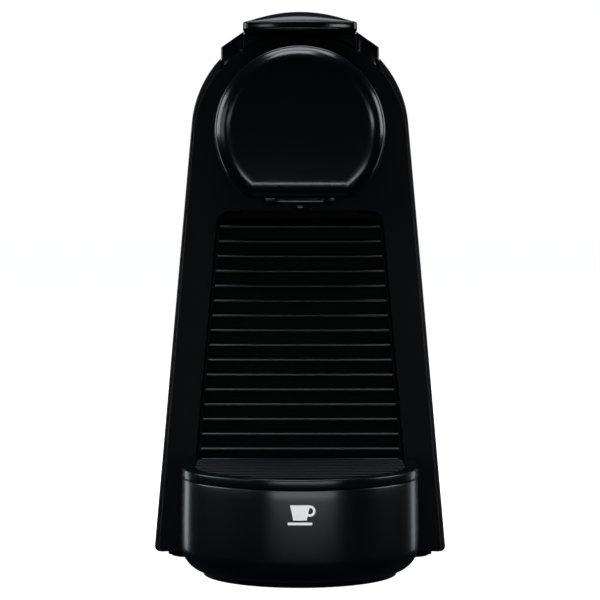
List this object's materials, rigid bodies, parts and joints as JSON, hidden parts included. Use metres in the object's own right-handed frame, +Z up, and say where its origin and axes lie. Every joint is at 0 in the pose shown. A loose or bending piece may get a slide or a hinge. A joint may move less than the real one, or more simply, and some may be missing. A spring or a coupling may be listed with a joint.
{
  "type": "pod coffee machine",
  "caption": "Narrow pod coffee machine with an arched body, round brew head, top lever, round-nosed drip tray behind a slotted grid, louvred back panel and a rear water tank.",
  "frame": {"origin": "on the bench, under the middle of the machine's box", "axes": "+Z up, the front with the brew head and drip tray faces -Y, +X is the right-hand side seen from the front"},
  "size_m": [0.1098, 0.325, 0.205],
  "materials": {
    "shell": "matte black",
    "front": "matte black",
    "gloss": "gloss black",
    "satin": "satin black",
    "frame": "moulded black",
    "cage": "natural grey",
    "tank": "smoked clear plastic",
    "rubber": "matte",
    "steel": "brushed",
    "pump": "satin",
    "aluminium": "cast",
    "brass": "turned",
    "board": "satin green",
    "mark": "off-white print"
  },
  "bodies": {
    "machine": {"base_chassis": "frame", "base_ribs": "frame", "base_screws": "steel", "rubber_feet": "rubber", "left_shell": "shell", "right_shell": "shell", "front_plate": "front", "head_barrel": "satin", "head_gasket": "rubber", "head_cap": "gloss", "outlet_guard": "gloss", "spout": "satin", "coffee_channel": "cage", "extraction_housing": "frame", "extraction_plate": "steel", "brew_frame": "frame", "capsule_chute": "frame", "water_sleeve": "brass", "lever_axles": "steel", "top_deck": "satin", "button_shoulders": "satin", "bay_liner": "frame", "tank_dock": "frame", "cord_gland": "rubber", "rear_bulkhead": "shell", "pump_body": "pump", "pump_cradles": "rubber", "thermoblock": "aluminium", "heater_bracket": "steel", "thermostat": "steel", "flow_meter": "frame", "suction_hose": "rubber", "feed_hose": "rubber", "pressure_hose": "rubber", "brew_pipe": "steel", "control_boards": "board", "board_components": "frame"},
    "lever": {"lever": "gloss", "lever_lip": "gloss", "drive_pins": "steel"},
    "cage": {"capsule_cage": "cage", "cage_forks": "cage", "cage_needles": "steel", "water_pipe": "steel"},
    "left_button": {"left_button": "satin"},
    "right_button": {"right_button": "satin"},
    "tray": {"drip_tray": "gloss", "tray_pedestal": "frame", "tray_badge": "mark", "slat_panel": "satin"},
    "grid": {"drip_grid": "satin"},
    "bin": {"capsule_bin": "frame"},
    "tank": {"water_tank": "tank", "valve_guide": "frame", "lid_pin": "steel"},
    "lid": {"tank_lid": "satin"},
    "valve": {"tank_valve": "cage", "valve_spring": "steel"},
    "rotor": {"flow_rotor": "cage"},
    "plunger": {"pump_plunger": "steel"}
  },
  "joints": [
    {"name": "lever_hinge", "type": "hinge", "parent": "machine", "child": "lever", "pos_m": [0, -0.025, 0.172], "axis": [-1, 0, 0], "range_deg": [0, 90]},
    {"name": "cage_slide", "type": "slide", "parent": "machine", "child": "cage", "axis": [0, 1, 0], "range_m": [0, 0.0284]},
    {"name": "left_press", "type": "slide", "parent": "machine", "child": "left_button", "axis": [0, 0, -1], "range_m": [0, 0.0015], "stiffness_N_per_m": 800},
    {"name": "right_press", "type": "slide", "parent": "machine", "child": "right_button", "axis": [0, 0, -1], "range_m": [0, 0.0015], "stiffness_N_per_m": 800},
    {"name": "tray_slide", "type": "slide", "parent": "machine", "child": "tray", "axis": [0, -1, 0], "range_m": [0, 0.14]},
    {"name": "grid_lift", "type": "slide", "parent": "tray", "child": "grid", "axis": [0, 0, 1], "range_m": [0, 0.06]},
    {"name": "bin_lift", "type": "slide", "parent": "tray", "child": "bin", "axis": [0, 0, 1], "range_m": [0, 0.028]},
    {"name": "tank_lift", "type": "slide", "parent": "machine", "child": "tank", "axis": [0, 0, 1], "range_m": [0, 0.17]},
    {"name": "lid_hinge", "type": "hinge", "parent": "tank", "child": "lid", "pos_m": [0, 0.16, 0.1645], "axis": [-1, 0, 0], "range_deg": [0, 95]},
    {"name": "valve_drop", "type": "slide", "parent": "tank", "child": "valve", "axis": [0, 0, -1], "range_m": [0, 0.0015], "deforming": ["valve_spring"]},
    {"name": "rotor_spin", "type": "hinge", "parent": "machine", "child": "rotor", "pos_m": [0.02, 0.058, 0.024], "axis": [0, 0, 1], "continuous": true},
    {"name": "plunger_slide", "type": "slide", "parent": "machine", "child": "plunger", "axis": [0, 1, 0], "range_m": [0, 0.003], "stiffness_N_per_m": 600}
  ],
  "couplings": [
    {"joint": "cage_slide", "follows": "lever_hinge", "m_per_rad": 0.018006},
    {"joint": "valve_drop", "follows": "tank_lift", "ratio": 0.0088}
  ]
}
